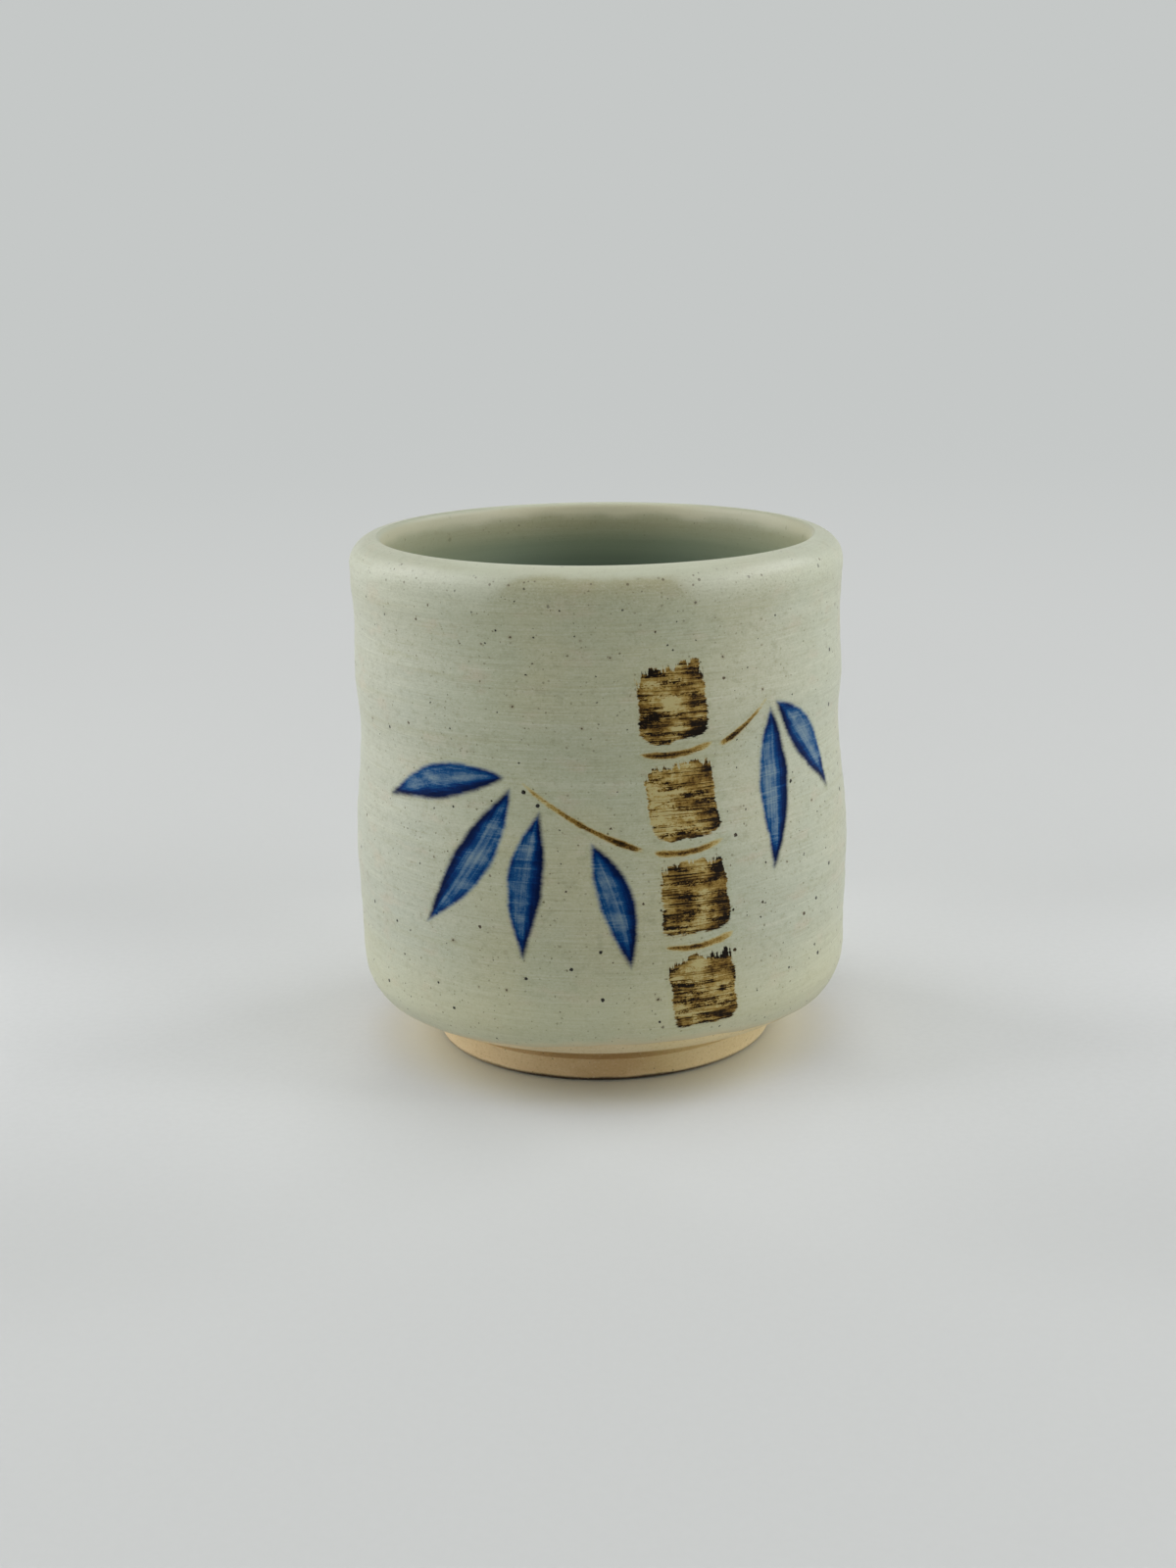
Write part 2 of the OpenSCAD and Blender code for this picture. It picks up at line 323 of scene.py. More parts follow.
def placed(az, r, z, ridged=1.0):
    """Points in millimetres at azimuths, radii and heights, carried by the hand-thrown wall."""
    a = np.radians(az)
    near_axis = np.clip(r / INNER_R, 0, 1)
    r = r + wobble(az, z, ridged) * near_axis
    z = z - rim_drop(az, z)
    return np.stack([r * np.sin(a), -r * np.cos(a), z + 0 * a], axis=-1)


def new_object(name, data):
    """An object at the origin of the scene."""
    made = bpy.data.objects.new(name, data)
    bpy.context.scene.collection.objects.link(made)
    return made


def closed_piece(name, points, faces, sharp=True):
    """A closed mesh, from points in millimetres, as an object."""
    mesh = bpy.data.meshes.new(name)
    mesh.from_pydata((points * MM).tolist(), [], faces)
    work = bmesh.new()
    work.from_mesh(mesh)
    bmesh.ops.recalc_face_normals(work, faces=work.faces)
    work.to_mesh(mesh)
    work.free()
    mesh.shade_smooth()
    if sharp:
        mesh.set_sharp_from_angle(angle=np.radians(SHARP_ANGLE))
    return new_object(name, mesh)


def store(piece, name, values):
    """Keeps a number for each point of a piece, for its material."""
    layer = piece.data.attributes.new(name, "FLOAT", "POINT")
    layer.data.foreach_set("value", np.asarray(values, np.float32).ravel())


def lathe(name, rings, poles=None):
    """A mesh from rings of points. Two poles close its ends, or else the last ring meets the first."""
    count, columns, _ = rings.shape
    points = rings.reshape(-1, 3)
    index = np.arange(count * columns).reshape(count, columns)
    after = np.roll(index, -1, axis=1)
    last = count - 1 if poles is not None else count
    faces = []
    for i in range(last):
        j = (i + 1) % count
        faces += np.column_stack([index[i], after[i], after[j], index[j]]).tolist()
    if poles is not None:
        points = np.vstack([points, poles])
        low = len(points) - 2
        faces += [[a, low, b] for a, b in zip(index[0], after[0])]
        faces += [[a, b, low + 1] for a, b in zip(index[-1], after[-1])]
    return closed_piece(name, points, faces)


AZIMUTHS = np.arange(COLUMNS)[None, :] * 360 / COLUMNS

# A coat's back stands clear of the clay, so that no two faces meet
COAT_CLEAR = 0.05

# Lower edge of the outer coat: its place on the outline, how far it drops behind and rises in front (where
# and how wide, in radians), ripples (size, count round the cup and phase), and how it thins into the clay
EDGE_RISE = 0.3
EDGE_S = float(np.interp(GLAZE_Z + EDGE_RISE, OUTSIDE.points[:, 1], OUTSIDE.s))
EDGE_DROP = 1.9
EDGE_FRONT = 2.4
EDGE_FRONT_AT = 0.2
EDGE_FRONT_W = 0.62
EDGE_RIPPLES = [(0.22, 7, 0.4), (0.16, 13, 1.9), (0.09, 29, 0.8)]
EDGE_FEATHER = 1.5
EDGE_OVERRUN = -0.5
EDGE_SUNK = 0.02
EDGE_BACK = 0.2


def edge_line(az):
    """Distance along the outline at which the outer coat ends."""
    a = np.radians((az + 180) % 360 - 180)
    broad = EDGE_FRONT * np.exp(-((a - EDGE_FRONT_AT) / EDGE_FRONT_W) ** 4) - EDGE_DROP
    ripple = sum(most * np.sin(count * a + phase) for most, count, phase in EDGE_RIPPLES)
    return EDGE_S + broad + ripple


def surface(line, s, depth, ridged=1.0):
    """Points so deep under a glazed line, all round the cup."""
    r, z = line.at(s)
    out_r, out_z = line.normal(s)
    return placed(AZIMUTHS, r - depth * out_r, z - depth * out_z, ridged)


def outer_coat():
    """The glaze on the outside: it thins to nothing at its wandering lower edge."""
    u = OUTSIDE.rows(ROW_STEP, EDGE_S) - EDGE_S
    share = (u / u[-1])[:, None]
    start = edge_line(AZIMUTHS)
    s = start + (OUTSIDE.length - start) * share
    above_edge = s - start
    thinned = (GLAZE_T + EDGE_SUNK) * (1 - smooth(above_edge, EDGE_OVERRUN, EDGE_FEATHER))
    front = surface(OUTSIDE, s, thinned / (1 - smooth(0, EDGE_OVERRUN, EDGE_FEATHER)))
    depth = GLAZE_T - COAT_CLEAR + EDGE_BACK * (1 - smooth(above_edge, 0, EDGE_FEATHER))
    back = surface(OUTSIDE, s, depth)
    coat = lathe("glaze_outside", np.concatenate([front, back[::-1]]))
    store(coat, "above_edge", np.concatenate([above_edge, above_edge[::-1]]))
    return coat


def inner_coat():
    """The glaze on the inside, from the crest of the lip to the middle of the floor."""
    s = INSIDE.rows(ROW_STEP)[:-1, None]
    front = surface(INSIDE, s, 0, SMOOTHED)
    back = surface(INSIDE, s, GLAZE_T - COAT_CLEAR, SMOOTHED)
    poles = np.array([[0, 0, FLOOR_Z], [0, 0, FLOOR_Z - GLAZE_T + COAT_CLEAR]])
    return lathe("glaze_inside", np.concatenate([front[::-1], back]), poles)


# Marks of the turning tool: height of the spiral under the foot, its pitch and where it starts and stops by
# radius, then height and pitch of the lines round the foot and where they start by height
SPIRAL_H = 0.05
SPIRAL_PITCH = 2.3
SPIRAL_START = (1, 4)
SPIRAL_STOP = (18, 21)
LINE_H = 0.018
LINE_PITCH = 0.9
LINE_START = (0.8, 1.4)

# The clay's own rows run from the end of the underside to above the glaze's edge, and more widely from there
BARE_START = 0.3
BARE_ABOVE = 4
HIDDEN_ABOVE = 5
CREST_START = 0.5


def turning_marks(az, r, z):
    """A spiral under the foot and lines round it, as the turning tool leaves them on bare clay."""
    spiral = SPIRAL_H * np.sin(2 * np.pi * r / SPIRAL_PITCH + np.radians(az)) * smooth(r, *SPIRAL_START)
    lines = LINE_H * np.sin(2 * np.pi * z / LINE_PITCH + np.radians(az)) * smooth(z, *LINE_START)
    return spiral * (1 - smooth(r, *SPIRAL_STOP)), lines


def clay_body():
    """Foot, floor, wall and lip in one piece of clay. Only the foot and the underside show."""
    r, z = FOOT.at(FOOT.rows(FOOT_STEP)[1:, None])
    spiral, lines = turning_marks(AZIMUTHS, r, z)
    foot = placed(AZIMUTHS, r + lines, z + spiral)
    bare = OUTSIDE.rows(ROW_STEP, BARE_START, EDGE_S + BARE_ABOVE)
    hidden = OUTSIDE.rows(HIDDEN_STEP, EDGE_S + HIDDEN_ABOVE)
    outside = surface(OUTSIDE, np.concatenate([bare, hidden])[:, None], GLAZE_T)
    inside = surface(INSIDE, INSIDE.rows(HIDDEN_STEP, CREST_START)[:-1, None], GLAZE_T, SMOOTHED)
    poles = np.array([[0, 0, RECESS_H], [0, 0, FLOOR_Z - GLAZE_T]])
    return lathe("clay_body", np.concatenate([foot, outside, inside]), poles)


# Brush strokes lie a hair above the glaze, and their painted edge runs inside a margin of the patch that
# sinks into the wall at its own edge
STROKE_STEP = 0.35
STROKE_MARGIN = 1.1
STROKE_LIFT = 0.03
STROKE_SINK = 0.1
STROKE_RISE = (-1.0, -0.6)
STROKE_DEPTH = 0.2
WALL_REACH = 0.2

# Ends of a stroke: how sharp their corners are, how they curve back, and where the drying brush breaks up
SHARPNESS = 1.3
FAR = 9
CROWN_POWER = 3
CROWN_LIMIT = 1.5
DRY_FROM = 4.5
DRY_TO = 0.5

# Distance along the streaks of the brush from one seed to the next
SEED_SHIFT = 57.0


def wall_r(z):
    """Radius of the glazed wall at a height."""
    return np.interp(z, OUTSIDE.points[:, 1], OUTSIDE.points[:, 0])


def wall_points(az, z):
    """Points on the glazed wall and the directions out of it."""
    def at(az, z):
        return placed(az, wall_r(z), z)
    turn = np.degrees(WALL_REACH / BELLY_R)
    across = at(az + turn, z) - at(az - turn, z)
    up = at(az, z + WALL_REACH) - at(az, z - WALL_REACH)
    out = np.cross(across, up)
    return at(az, z), out / np.linalg.norm(out, axis=-1, keepdims=True)


def soft_least(a, b):
    """The lesser of two distances, with the corner between them rounded."""
    a = np.clip(a, -FAR, FAR)
    b = np.clip(b, -FAR, FAR)
    return -np.log(np.exp(-SHARPNESS * a) + np.exp(-SHARPNESS * b)) / SHARPNESS


class Stroke:
    """One brush stroke: where it starts, its direction, length, bow and half width, and its ends."""

    def __init__(self, name, az, z, reach, turn, length, centre, half, start=0, crown=0, dry=0, dark=1):
        self.name, self.az, self.z = name, az, z
        self.reach, self.turn, self.length = reach, turn, length
        self.centre, self.half, self.start = centre, half, start
        self.crown, self.dry, self.dark = crown, dry, dark

    def on_wall(self, x, y):
        """Azimuth and height of a place along and across the stroke's flat drawing."""
        turn = np.radians(self.turn)
        across = (x + self.start) * np.cos(turn) - y * np.sin(turn) - self.reach
        z = self.z + (x + self.start) * np.sin(turn) + y * np.cos(turn)
        middle = self.az + np.degrees(np.arcsin(self.reach / BELLY_R))
        return middle + np.degrees(np.arcsin(np.clip(across / wall_r(z), -1, 1))), z

    def build(self, load, seed):
        """A thin closed skin on the wall, with what its material reads at each point."""
        rows = round((self.length + 2 * STROKE_MARGIN) / STROKE_STEP)
        x = np.linspace(-STROKE_MARGIN, self.length + STROKE_MARGIN, rows)[:, None]
        t = np.clip(x / self.length, 0, 1)
        half = self.half(t)
        columns = round(2 * (float(half.max()) + STROKE_MARGIN) / STROKE_STEP)
        offset = np.linspace(-1, 1, columns)[None, :] * (half + STROKE_MARGIN)
        az, z = self.on_wall(x, self.centre(t) + offset)
        aside = np.clip(np.abs(offset) / half, 0, CROWN_LIMIT)
        inside_ends = np.minimum(x, self.length - x) - self.crown * aside ** CROWN_POWER
        edge = soft_least(half - np.abs(offset), inside_ends)
        points, out = wall_points(az, z)
        rise = smooth(edge, *STROKE_RISE)[..., None]
        front = points + out * (STROKE_LIFT * rise - STROKE_SINK * (1 - rise))
        piece = self.skin(front, points - out * STROKE_DEPTH, out)
        for name, values in {
            "edge": edge,
            "along": x + seed * SEED_SHIFT,
            "across": offset,
            "lift": self.dry * smooth(x, self.length - DRY_FROM, self.length - DRY_TO),
            "load": load(x, self.length, offset / half * self.dark, edge),
        }.items():
            store(piece, name, np.tile(np.broadcast_to(values, edge.shape).ravel(), 2))
        return piece

    def skin(self, front, back, out):
        """The closed mesh between two grids of points, shaded as the wall is."""
        rows, columns, _ = front.shape
        index = np.arange(rows * columns).reshape(rows, columns)
        top = np.stack([index[:-1, :-1], index[1:, :-1], index[1:, 1:], index[:-1, 1:]], axis=-1)
        top = top.reshape(-1, 4)
        under = top[:, ::-1] + rows * columns
        rim = np.concatenate([index[0, :-1], index[:-1, -1], index[-1, :0:-1], index[:0:-1, 0]])
        ahead = np.roll(rim, -1)
        sides = np.column_stack([rim, ahead, ahead + rows * columns, rim + rows * columns])
        points = np.concatenate([front.reshape(-1, 3), back.reshape(-1, 3)])
        piece = closed_piece(self.name, points, np.vstack([top, under, sides]).tolist(), sharp=False)
        normals = np.concatenate([out.reshape(-1, 3), -out.reshape(-1, 3)])
        piece.data.normals_split_custom_set_from_vertices(normals.tolist())
        return piece


def az_across(az, reach, x):
    """Azimuth at a distance x across from the start of a stroke, as in the part's source."""
    return az + np.degrees(np.arcsin(reach / BELLY_R)) + np.degrees(np.arcsin((x - reach) / BELLY_R))


def culm_az(z):
    """Azimuth of the culm at a height."""
    run = CULM_PITCH * CULM_COUNT - CULM_GAP
    return CULM_LOW_AZ + (CULM_HIGH_AZ - CULM_LOW_AZ) * (z - CULM_LOW_Z) / run


def joint_z(i):
    """Height of a joint mark, counted from the lowest segment."""
    return CULM_LOW_Z + CULM_PITCH * min(i, CULM_COUNT - 1) - CULM_GAP / 2


CULM_LEAN = np.degrees(
    np.arctan(np.radians(CULM_LOW_AZ - CULM_HIGH_AZ) * BELLY_R / (CULM_PITCH * CULM_COUNT))
)

# How far the end of a culm stroke curves back at its corners, and breaks up where the brush lifts
CULM_CROWN = 0.8
CULM_DRY = 1.6


def culm_strokes():
    """Broad strokes of the culm, one above the other."""
    def half(t):
        return CULM_MID_W / 2 + (CULM_END_W - CULM_MID_W) / 2 * np.abs(2 * t - 1) ** CULM_FLARE_POWER
    made = []
    for i in range(CULM_COUNT):
        z = CULM_LOW_Z + CULM_PITCH * i
        made.append(Stroke(
            f"culm_{i + 1}", culm_az(z), z, 0, 90 + CULM_LEAN, CULM_PITCH - CULM_GAP, lambda t: 0 * t, half,
            crown=CULM_CROWN, dry=CULM_DRY
        ))
    return made


def joint_strokes():
    """A shallow arc of the brush at each joint of the culm."""
    sag = (CULM_GAP - MARK_W) / 4
    made = []
    for i in range(1, CULM_COUNT):
        made.append(Stroke(
            f"joint_mark_{i}", culm_az(joint_z(i)), joint_z(i), 0, CULM_LEAN, CULM_END_W,
            lambda t: sag * (2 * (2 * t - 1) ** 2 - 1), lambda t: MARK_W / 2 + 0 * t, -CULM_END_W / 2
        ))
    return made


def tapered(length, w, bow, start_w):
    """Centre line and half width of a tapered stroke with a bow to one side."""
    def centre(t):
        return bow * length * 4 * t * (1 - t)

    def half(t):
        swell = np.abs(np.sin(np.pi * t ** STROKE_SKEW)) ** STROKE_POWER
        return (start_w + (TIP_W - start_w) * t) / 2 + (w - start_w) / 2 * swell
    return centre, half


# Twigs: joint they leave and side, direction, then length as a share of a leaf, and bow
TWIG_SHARES = [(2, -1, 150, 0.8, 0.05), (3, 1, 36, 0.42, -0.05)]

# Leaves: twig and place along it, direction, length, width, bow, and the side that holds more pigment
LEAF_SHARES = [
    (0, 1, 194, 0.86, 0.9, -0.05, 1),
    (0, 1, 236, 1, 1, 0.05, -1),
    (0, 0.78, 263, 0.84, 0.92, -0.04, 1),
    (0, 0.42, 286, 0.76, 0.86, 0.05, 1),
    (1, 1, 312, 0.8, 0.9, 0.05, -1),
    (1, 1, 270, 0.92, 1, 0.05, 1),
]


def twig_az(twig):
    """Azimuth at which a twig leaves its joint."""
    joint, side, *_ = twig
    return az_across(culm_az(joint_z(joint)), 0, side * (CULM_END_W / 2 + STROKE_GAP))


def twig_offset(twig, t):
    """Place on a twig, across and up from its foot."""
    _, _, turn, long, bow = twig
    turn = np.radians(turn)
    along = LEAF_LEN * long * t
    aside = LEAF_LEN * long * bow * 4 * t * (1 - t)
    return along * np.cos(turn) - aside * np.sin(turn), along * np.sin(turn) + aside * np.cos(turn)


def twig_strokes():
    """Thin lines that carry the leaves."""
    made = []
    for i, twig in enumerate(TWIG_SHARES):
        joint, _, turn, long, bow = twig
        length = LEAF_LEN * long
        centre, half = tapered(length, TWIG_W, bow, TWIG_W)
        reach = twig_offset(twig, 0.5)[0]
        az = twig_az(twig)
        made.append(Stroke(f"twig_{i + 1}", az, joint_z(joint), reach, turn, length, centre, half))
    return made


def leaf_strokes():
    """Loaded strokes, each pressed down and lifted to a point."""
    made = []
    for i, (carrier, place, turn, long, wide, bow, dark) in enumerate(LEAF_SHARES):
        twig = TWIG_SHARES[carrier]
        length = LEAF_LEN * long
        across = twig_offset(twig, place)[0] + LEAF_GAP * np.cos(np.radians(turn))
        up = twig_offset(twig, place)[1] + LEAF_GAP * np.sin(np.radians(turn))
        az = az_across(twig_az(twig), twig_offset(twig, 0.5)[0], across)
        centre, half = tapered(length, LEAF_W * wide, bow, TIP_W)
        reach = length / 2 * np.cos(np.radians(turn))
        made.append(Stroke(
            f"leaf_{i + 1}", az, joint_z(twig[0]) + up, reach, turn, length, centre, half, dark=dark
        ))
    return made


# Load of pigment on a stroke: its most, then how fast it fades, in millimetres, or the range it rises over
CULM_BASE = 0.26
CULM_EDGE = (0.2, 0.5)
CULM_START = (0.3, 1.8)
CULM_STOP = (0.2, 1.4)
CULM_SHADED = (0.3, -0.1, 1.0)
LINE_BASE = 0.34
LINE_CORE = (0.5, 0.05, 0.45)
LINE_CORE_END = (0.35, 0.95)
LINE_LIFT = (-0.2, 0.3, 0.95)
LEAF_BASE = 0.17
LEAF_EDGE = (0.54, 0.9)
LEAF_HEEL = 0.3
LEAF_HEEL_END = (0.02, 0.25)
LEAF_POINT = (0.4, 0.72, 0.95)
LEAF_SHADED = (0.5, -0.05, 0.8)


def fading(distance, most, reach):
    """A load that is greatest at a place and fades with the distance from it."""
    return most * np.exp(-np.clip(distance, 0, None) / reach)


def rising(value, most, low, high):
    """A load that rises over a range."""
    return most * smooth(value, low, high)


def culm_load(x, length, side, edge):
    """How heavily the broad brush laid its pigment: along one side, at its edges and where it stopped."""
    ends = fading(x, *CULM_START) + fading(length - x, *CULM_STOP)
    return CULM_BASE + fading(edge, *CULM_EDGE) + ends + rising(-side, *CULM_SHADED)


def line_load(x, length, side, edge):
    """A thin line, heavy where it starts and along its core, thin where it lifts."""
    core = rising(edge, *LINE_CORE) * (1 - smooth(x / length, *LINE_CORE_END))
    return LINE_BASE + rising(x / length, *LINE_LIFT) + core


def leaf_load(x, length, side, edge):
    """A leaf, deep along one side, at its start and its point, and thin in between."""
    t = np.clip(x / length, 0, 1)
    heel = LEAF_HEEL * (1 - smooth(t, *LEAF_HEEL_END))
    return LEAF_BASE + fading(edge, *LEAF_EDGE) + heel + rising(t, *LEAF_POINT) + rising(side, *LEAF_SHADED)


def srgb(red, green, blue):
    """A colour in the renderer's own terms, from its sRGB numbers."""
    share = np.array([red, green, blue]) / 255
    low = share / 12.92
    high = ((share + 0.055) / 1.055) ** 2.4
    return (*np.where(share <= 0.04045, low, high).tolist(), 1.0)


# Colours of the glaze, the clay and the pigments
GLAZE_COOL = srgb(174, 178, 151)
GLAZE_WARM = srgb(179, 178, 146)
GLAZE_LIP_AND_HIGHLIGHT = srgb(198, 203, 183)
GLAZE_OLIVE = srgb(158, 156, 116)
GLAZE_PAINTED_SHADE = srgb(160, 154, 118)
GLAZE_SIDE_SHEEN = srgb(178, 183, 172)
GLAZE_THIN = srgb(202, 200, 162)
GLAZE_PALE = srgb(200, 202, 182)
GLAZE_SPOT = srgb(136, 134, 104)
GLAZE_BLUSH = srgb(188, 174, 152)
SPECK = srgb(30, 26, 18)
SPECK_RUST = srgb(72, 54, 30)
SPECK_OLIVE = srgb(104, 100, 72)
HALO = srgb(124, 110, 76)
BUFF = srgb(204, 192, 156)
TOAST = srgb(182, 156, 110)
LIP_CREAM_AND_HIGHLIGHT = srgb(207, 203, 174)
LINER_OLIVE_SHADE = srgb(162, 162, 128)
LINER_SAGE_SHADE = srgb(132, 146, 122)
LINER_DEEP_SHADE = srgb(102, 120, 105)
LINER_SIDE_SHADE = srgb(128, 132, 104)
LINER_FLOOR = srgb(156, 163, 136)
CLAY_PALE = srgb(218, 190, 142)
CLAY_WARM = srgb(205, 173, 123)
CLAY_DARK = srgb(166, 134, 86)
CLAY_SIDE_LIGHT = srgb(248, 228, 184)
CLAY_HAZE = srgb(208, 197, 162)
CLAY_GROOVE_SHADE = srgb(164, 130, 72)
CLAY_GOLD = srgb(216, 198, 140)
CLAY_CONTACT_SHADOW = srgb(50, 38, 25)
CLAY_GRAIN = srgb(116, 88, 56)
CLAY_LIGHT = srgb(236, 220, 186)
IRON_STOPS = [
    (0.0, srgb(182, 170, 120)),
    (0.2, srgb(164, 142, 82)),
    (0.42, srgb(138, 111, 54)),
    (0.62, srgb(104, 78, 32)),
    (0.8, srgb(50, 35, 13)),
    (1.0, srgb(20, 13, 6)),
]
COBALT_STOPS = [
    (0.0, srgb(120, 140, 150)),
    (0.22, srgb(84, 112, 138)),
    (0.42, srgb(20, 72, 120)),
    (0.6, srgb(0, 46, 100)),
    (0.8, srgb(0, 28, 76)),
    (1.0, srgb(0, 18, 58)),
]

# Patterns of noise: cells so wide and high, in millimetres, then shift, detail and roughness
PATTERNS = {
    "cloud": (26, 20, 0, 3, 0.5),
    "lines": (14, 0.55, 0, 3, 0.6),
    "rings": (60, 3.2, 7, 3, 0.65),
    "wheel": (11, 0.2, 19, 3, 0.65),
    "blush": (8, 3.5, 31, 3, 0.6),
    "felt": (0.42, 0.3, 0, 3, 0.75),
    "mottle": (1.6, 1.1, 6, 3, 0.65),
    "olive": (15, 9, 3, 2, 0.5),
    "jostle": (0.3, 0.22, 0, 2, 0.5),
    "lip_drift": (12, 12, 8, 5, 0.68),
    "lip_shade": (10, 10, 17, 2, 0.5),
    "dust": (0.42, 0.3, 23, 3, 0.75),
    "ragged": (3, 1.2, 4, 3, 0.6),
    "liner_drift": (9, 9, 8, 2, 0.5),
    "clay_cloud": (9, 5, 0, 3, 0.5),
    "clay_lines": (20, 0.4, 0, 3, 0.6),
    "clay_grit": (0.45, 0.35, 0, 3, 0.75),
    "contact_shadow_drift": (6, 6, 3, 3, 0.6),
    "fray": (1.5, 0.35, 9, 3, 0.65),
    "waver": (5, 4, 14, 2, 0.5),
    "pool": (4.2, 2.4, 2, 3, 0.6),
    "caught": (9, 0.24, 5, 3, 0.6),
    "grain": (0.34, 0.22, 6, 3, 0.75),
    "patch": (5.5, 1, 12, 4, 0.7),
    "fibre": (1.2, 1.2, 0, 2, 0.5),
}


class Finish:
    """A node material, built step by step. Sockets and plain numbers feed its nodes alike.

    Tables of tones read its values by name: patterns, and measures of a point in millimetres.
    """

    def __init__(self, name):
        self.material = bpy.data.materials.new(name)
        self.material.use_nodes = True
        self.tree = self.material.node_tree
        self.shader = self.tree.nodes["Principled BSDF"]
        self.colour = None
        inputs = {0: self.add("ShaderNodeTexCoord").outputs["Object"], "Scale": 1 / MM}
        self.place = self.add("ShaderNodeVectorMath", inputs, operation="SCALE").outputs[0]
        parts = self.add("ShaderNodeSeparateXYZ", {0: self.place}).outputs
        self.values = {"across": parts["X"], "depth": parts["Y"], "height": parts["Z"]}

    def add(self, kind, inputs=None, **settings):
        node = self.tree.nodes.new(kind)
        for key, value in settings.items():
            setattr(node, key, value)
        for key, value in (inputs or {}).items():
            self.feed(node.inputs[key], value)
        return node

    def feed(self, socket, value):
        if isinstance(value, bpy.types.NodeSocket):
            self.tree.links.new(value, socket)
        else:
            socket.default_value = value

    def set(self, **values):
        for key, value in values.items():
            self.feed(self.shader.inputs[key.replace("_", " ")], value)

    def math(self, operation, a, b=0.0):
        return self.add("ShaderNodeMath", {0: a, 1: b}, operation=operation).outputs[0]

    def total(self, first, *others):
        for other in others:
            first = self.math("ADD", first, other)
        return first

    def product(self, first, *others):
        for other in others:
            first = self.math("MULTIPLY", first, other)
        return first

    def away(self, value, middle=0.0):
        """Distance of a value from a middle, to either side."""
        return self.math("ABSOLUTE", self.math("SUBTRACT", value, middle))

    def length(self, vector):
        return self.add("ShaderNodeVectorMath", {0: vector}, operation="LENGTH").outputs["Value"]

    def span(self, value, low, high, to_low=0.0, to_high=1.0):
        """A value carried from one range to another, with soft ends."""
        inputs = {"Value": value, "From Min": low, "From Max": high, "To Min": to_low, "To Max": to_high}
        return self.add("ShaderNodeMapRange", inputs, interpolation_type="SMOOTHSTEP").outputs["Result"]

    def swing(self, value, reach, most):
        """A pattern carried to either side of nothing, from so far to either side of its middle."""
        return self.span(value, 0.5 - reach, 0.5 + reach, -most, most)

    def scaled(self, vector, scale, shift=0):
        inputs = {0: vector, 1: scale, 2: (shift, shift, shift)}
        return self.add("ShaderNodeVectorMath", inputs, operation="MULTIPLY_ADD").outputs[0]

    def noise(self, vector, detail, rough):
        inputs = {"Vector": vector, "Scale": 1.0, "Detail": detail, "Roughness": rough}
        return self.add("ShaderNodeTexNoise", inputs).outputs

    def pattern(self, name):
        wide, high, shift, detail, rough = PATTERNS[name]
        return self.noise(self.scaled(self.place, (1 / wide, 1 / wide, 1 / high), shift), detail, rough)

    def value(self, name):
        """A measure or a pattern by its name. A pattern is made when it is first read."""
        if name not in self.values:
            self.values[name] = self.pattern(name)["Fac"]
        return self.values[name]

    def drift(self, name, value, pattern, reach, most):
        """A new measure: another, moved to either side by a pattern."""
        self.values[name] = self.total(value, self.swing(self.value(pattern), reach, most))

    def dots(self, place, cell, shift, radius, power):
        """Depth within dots of mixed sizes, one to a cell, in millimetres, and a colour for each."""
        vector = self.scaled(place, (1 / cell, 1 / cell, 1 / cell), shift)
        found = self.add("ShaderNodeTexVoronoi", {"Vector": vector, "Scale": 1.0}).outputs
        radius = self.product(self.math("POWER", self.part(found["Color"], 0), power), radius)
        return self.math("SUBTRACT", radius, self.product(found["Distance"], cell)), found["Color"]

    def part(self, colour, index):
        return self.add("ShaderNodeSeparateColor", {0: colour}).outputs[index]

    def mix(self, share, a, b):
        node = self.add("ShaderNodeMix", data_type="RGBA")
        self.feed(node.inputs[0], share)
        self.feed(node.inputs[6], a)
        self.feed(node.inputs[7], b)
        return node.outputs[2]

    def share(self, *ranges):
        """The product of several values, each carried through its range."""
        return self.product(*[self.span(self.value(name), *ends) for name, *ends in ranges])

    def tint(self, share, tone):
        """Lays a share of a tone over the colour so far."""
        self.colour = self.mix(share, self.colour, tone)

    def lay(self, tones):
        """Lays tones over the colour so far, each by its ranges."""
        for tone, *ranges in tones:
            self.tint(self.share(*ranges), tone)

    def ramp(self, value, stops):
        node = self.add("ShaderNodeValToRGB", {0: value})
        marks = node.color_ramp.elements
        marks[0].position, marks[0].color = stops[0]
        marks[1].position, marks[1].color = stops[-1]
        for position, colour in stops[1:-1]:
            marks.new(position).color = colour
        return node.outputs["Color"]

    def stored(self, name):
        return self.add("ShaderNodeAttribute", attribute_name=name).outputs["Fac"]

    def bump(self, height, distance):
        inputs = {"Height": height, "Distance": distance * MM, "Strength": 1.0}
        return self.add("ShaderNodeBump", inputs).outputs["Normal"]


